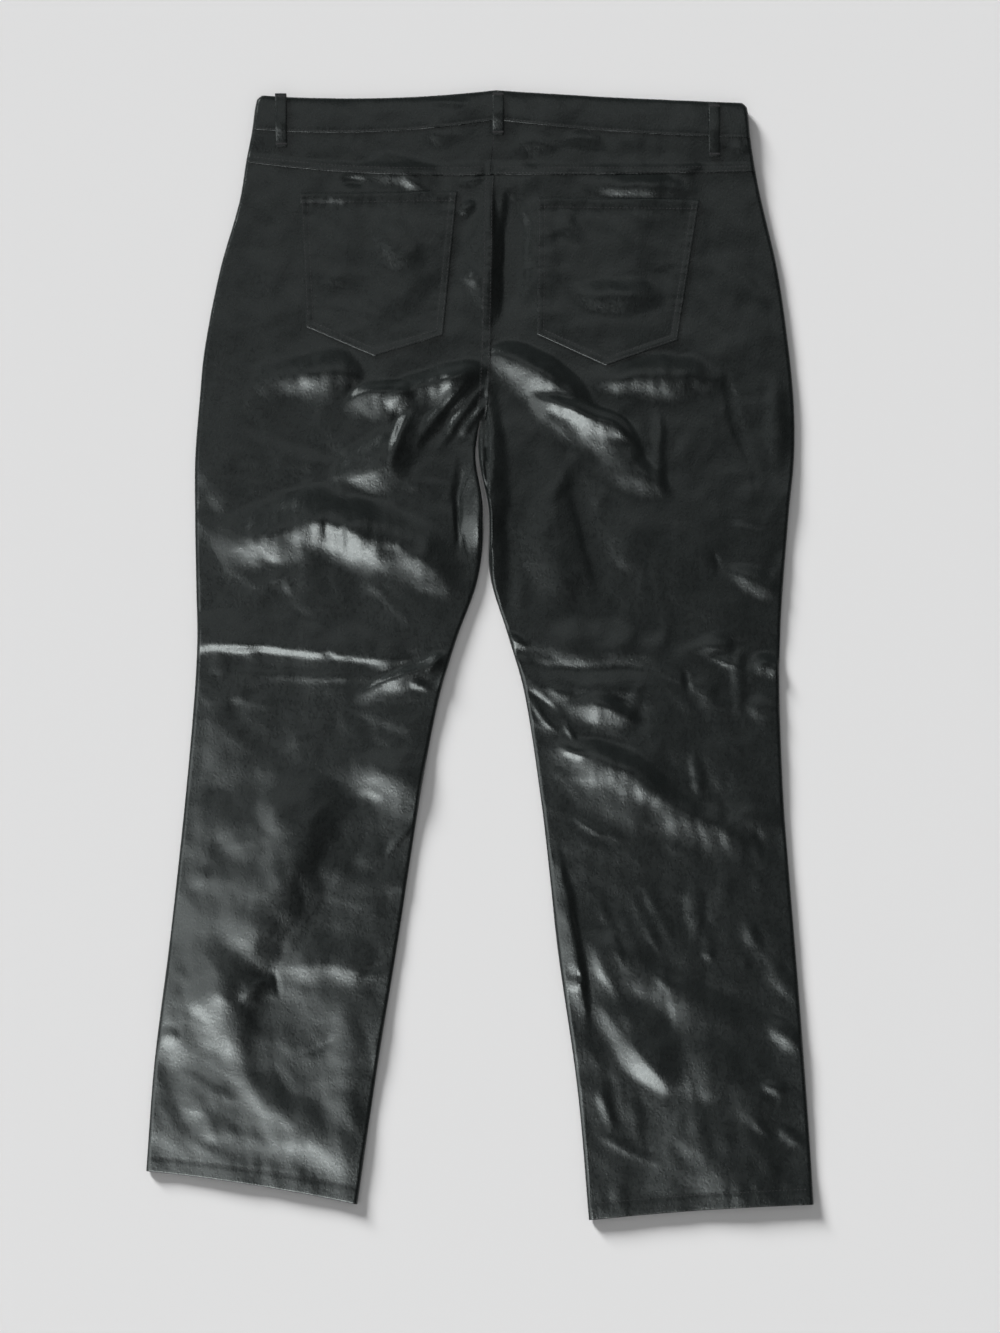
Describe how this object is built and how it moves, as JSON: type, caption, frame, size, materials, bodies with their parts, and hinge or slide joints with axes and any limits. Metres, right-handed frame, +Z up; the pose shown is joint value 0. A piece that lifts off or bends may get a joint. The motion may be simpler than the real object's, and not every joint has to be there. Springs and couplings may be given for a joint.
{
  "type": "leather trousers, laid flat",
  "caption": "Straight-leg black leather trousers laid flat on their front, with a waistband, belt loops, back yoke and patch pockets.",
  "frame": {"origin": "middle of the garment's outline, on the surface it lies on", "axes": "+X towards the wearer's right side, +Y from the hems to the waist, +Z up out of the back of the garment"},
  "size_m": [0.641, 1.0836, 0.0148],
  "materials": {
    "black_leather": "smooth satin faux leather with soft creases",
    "zip_tape": "matt woven tape",
    "button_metal": "dark satin metal"
  },
  "bodies": {
    "root": {"back_left": "black_leather", "back_right": "black_leather", "front_left": "black_leather", "front_right": "black_leather", "yoke_left": "black_leather", "yoke_right": "black_leather", "pocket_left": "black_leather", "pocket_right": "black_leather", "waistband_back": "black_leather", "waistband_front_left": "black_leather", "waistband_front_right": "black_leather", "belt_loop_back_left": "black_leather", "belt_loop_centre_back": "black_leather", "belt_loop_back_right": "black_leather", "belt_loop_front_left": "black_leather", "belt_loop_front_right": "black_leather", "fly_zip": "zip_tape", "waist_button": "button_metal"}
  },
  "joints": []
}
